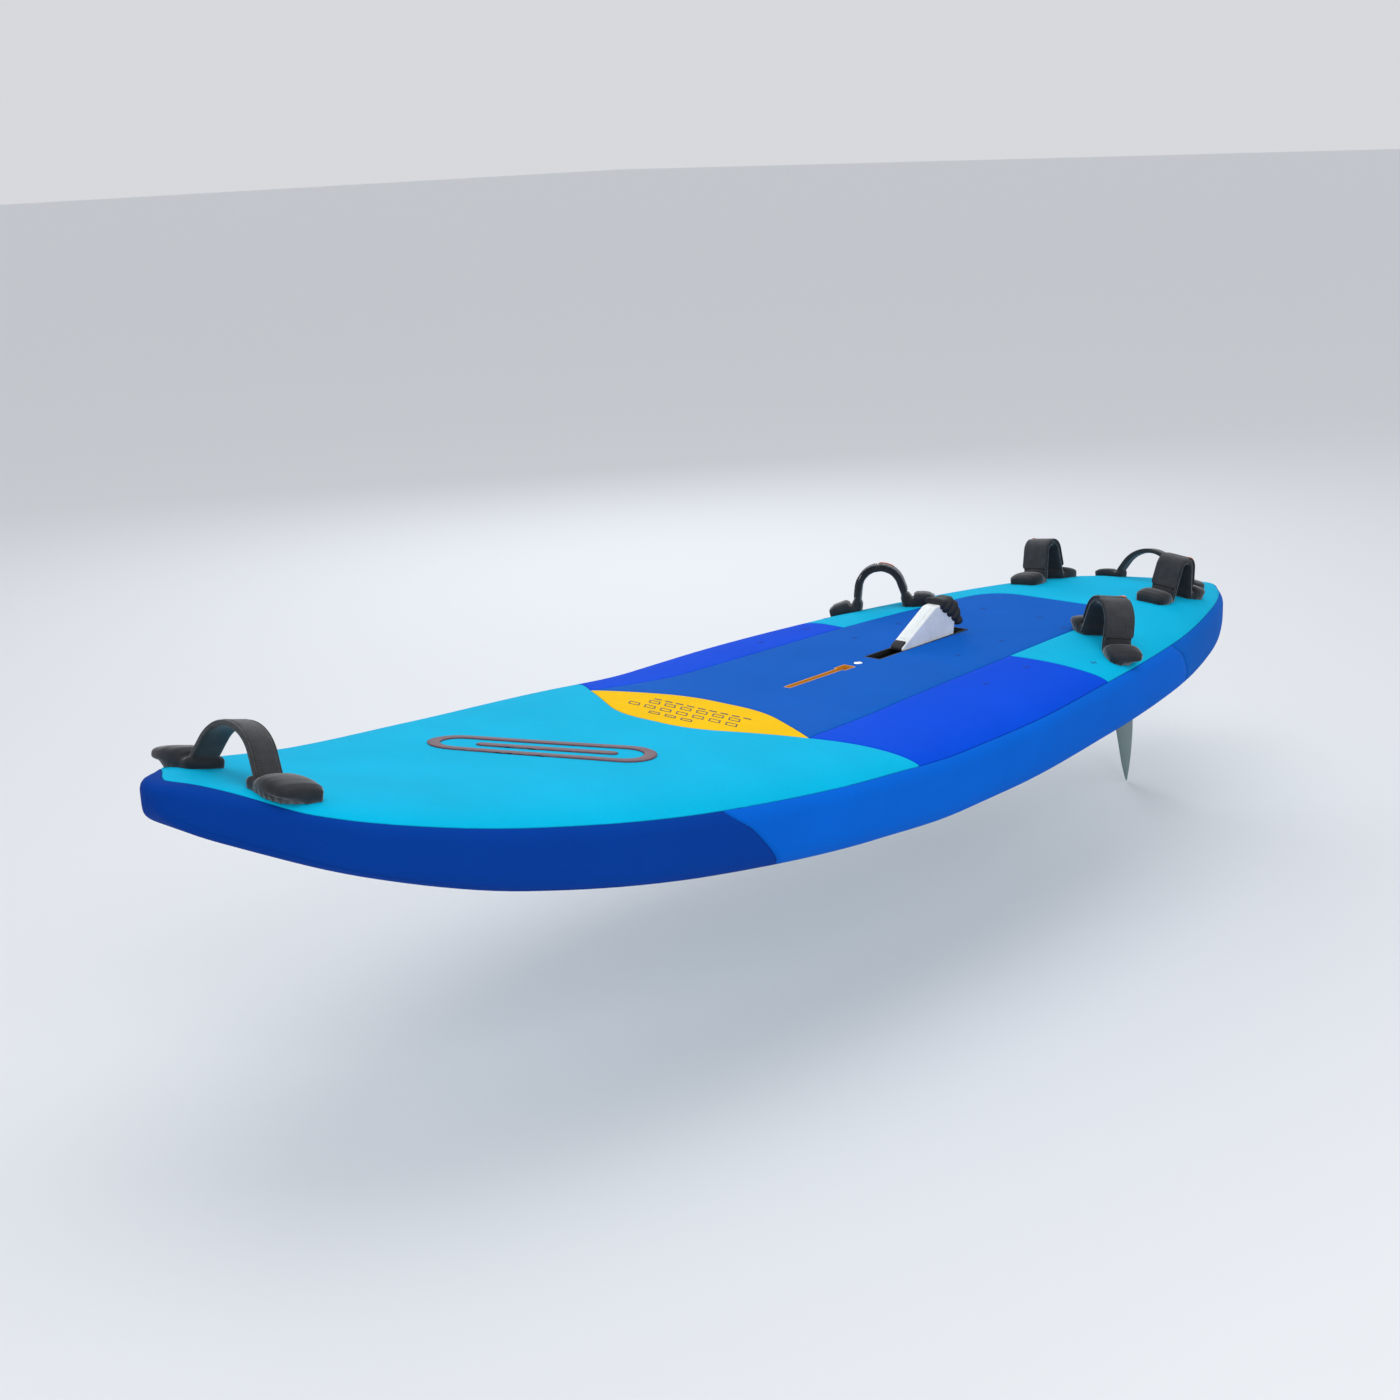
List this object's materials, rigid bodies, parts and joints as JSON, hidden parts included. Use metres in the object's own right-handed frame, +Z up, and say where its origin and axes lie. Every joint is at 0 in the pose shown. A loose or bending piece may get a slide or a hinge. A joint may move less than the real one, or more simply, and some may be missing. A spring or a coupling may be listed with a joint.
{
  "type": "windsurf board",
  "caption": "Soft-decked family windsurf board with padded foot straps, carry handles, a fin, a mast track and a pivoting daggerboard worked by a deck lever.",
  "frame": {"origin": "on the flat hull bottom, on the centre line, half way between the nose tip and the tail tip", "axes": "+X port, -Y towards the nose, +Y towards the tail, +Z up out of the deck"},
  "size_m": [0.746, 2.5488, 0.6397],
  "materials": {
    "core_foam": "white expanded polystyrene foam",
    "deck_laminate": "resin and cloth laminate under the skin",
    "bottom_laminate": "smooth satin slick bottom",
    "cyan_skin": "matt EVA foam skin with a fine pebble grain, cyan",
    "yellow_skin": "matt EVA foam skin, warm yellow",
    "blue_skin": "matt EVA foam skin, mid blue",
    "royal_skin": "matt EVA foam skin, royal blue",
    "navy_skin": "matt EVA foam rail skin, deep blue",
    "rail_skin": "matt EVA foam rail skin, blue",
    "emblem_paint": "raised maroon print",
    "track_plastic": "orange glass-filled nylon",
    "fitting_plastic": "black nylon",
    "steel": "stainless steel",
    "black_rubber": "matt black rubber",
    "blade_plastic": "satin dark grey composite",
    "lever_plastic": "white satin plastic",
    "fin_plastic": "grey-green translucent-looking moulded plastic",
    "webbing": "black woven polyester webbing",
    "neoprene": "black padded neoprene",
    "stitched_cover": "black woven cover with hook-and-loop lining"
  },
  "bodies": {
    "board": {"foam_core": "core_foam", "hull_shell": "bottom_laminate", "deck_shell": "deck_laminate", "nose_pad": "cyan_skin", "accent_pad": "yellow_skin", "centre_pad": "blue_skin", "side_pad_port": "royal_skin", "side_pad_starboard": "royal_skin", "tail_pad": "cyan_skin", "nose_rail": "navy_skin", "mid_rail_port": "rail_skin", "mid_rail_starboard": "rail_skin", "tail_rail": "blue_skin", "emblem": "emblem_paint", "mast_track_box": "track_plastic", "vent_body": "fitting_plastic", "dagger_case": "fitting_plastic", "slot_gasket_port": "black_rubber", "slot_gasket_starboard": "black_rubber", "dagger_pin": "steel", "pivot_washer_port": "steel", "pivot_washer_starboard": "steel", "fin_box": "fitting_plastic", "fin": "fin_plastic", "fin_bolt": "steel", "strap_front_port_webbing": "webbing", "strap_front_port_sleeve": "neoprene", "strap_front_port_cover": "stitched_cover", "strap_front_port_screw_outer": "steel", "strap_front_port_screw_inner": "steel", "strap_front_starboard_webbing": "webbing", "strap_front_starboard_sleeve": "neoprene", "strap_front_starboard_cover": "stitched_cover", "strap_front_starboard_screw_outer": "steel", "strap_front_starboard_screw_inner": "steel", "strap_rear_port_webbing": "webbing", "strap_rear_port_sleeve": "neoprene", "strap_rear_port_cover": "stitched_cover", "strap_rear_port_screw_outer": "steel", "strap_rear_port_screw_inner": "steel", "strap_rear_starboard_webbing": "webbing", "strap_rear_starboard_sleeve": "neoprene", "strap_rear_starboard_cover": "stitched_cover", "strap_rear_starboard_screw_outer": "steel", "strap_rear_starboard_screw_inner": "steel", "nose_handle": "webbing", "nose_handle_screw_port": "steel", "nose_handle_screw_starboard": "steel", "tail_handle": "webbing", "tail_handle_screw_port": "steel", "tail_handle_screw_starboard": "steel"},
    "daggerboard": {"dagger_blade": "blade_plastic", "dagger_head": "lever_plastic", "dagger_grip": "black_rubber"},
    "vent_screw": {"vent_plug": "steel"},
    "front_port_flap": {"strap_front_port_flap": "stitched_cover"},
    "front_starboard_flap": {"strap_front_starboard_flap": "stitched_cover"},
    "rear_port_flap": {"strap_rear_port_flap": "stitched_cover"},
    "rear_starboard_flap": {"strap_rear_starboard_flap": "stitched_cover"}
  },
  "joints": [
    {"name": "daggerboard_swing", "type": "hinge", "parent": "board", "child": "daggerboard", "pos_m": [0, 0.355, 0.108], "axis": [-1, 0, 0], "range_deg": [-28, 42]},
    {"name": "vent_screw_turn", "type": "hinge", "parent": "board", "child": "vent_screw", "pos_m": [0, 0.078, 0.14], "axis": [0, 0, 1], "range_deg": [0, 360]},
    {"name": "front_port_flap_peel", "type": "hinge", "parent": "board", "child": "front_port_flap", "pos_m": [0.25639, 0.46294, 0.21631], "axis": [-0.5723, -0.8102, 0.1264], "range_deg": [0, 110]},
    {"name": "front_starboard_flap_peel", "type": "hinge", "parent": "board", "child": "front_starboard_flap", "pos_m": [-0.25639, 0.46294, 0.21631], "axis": [-0.5723, 0.8102, -0.1264], "range_deg": [0, 110]},
    {"name": "rear_port_flap_peel", "type": "hinge", "parent": "board", "child": "rear_port_flap", "pos_m": [0.15127, 0.86331, 0.20704], "axis": [-0.9934, 0.0261, 0.1113], "range_deg": [0, 110]},
    {"name": "rear_starboard_flap_peel", "type": "hinge", "parent": "board", "child": "rear_starboard_flap", "pos_m": [-0.15127, 0.86331, 0.20704], "axis": [-0.9934, -0.0261, -0.1113], "range_deg": [0, 110]}
  ]
}
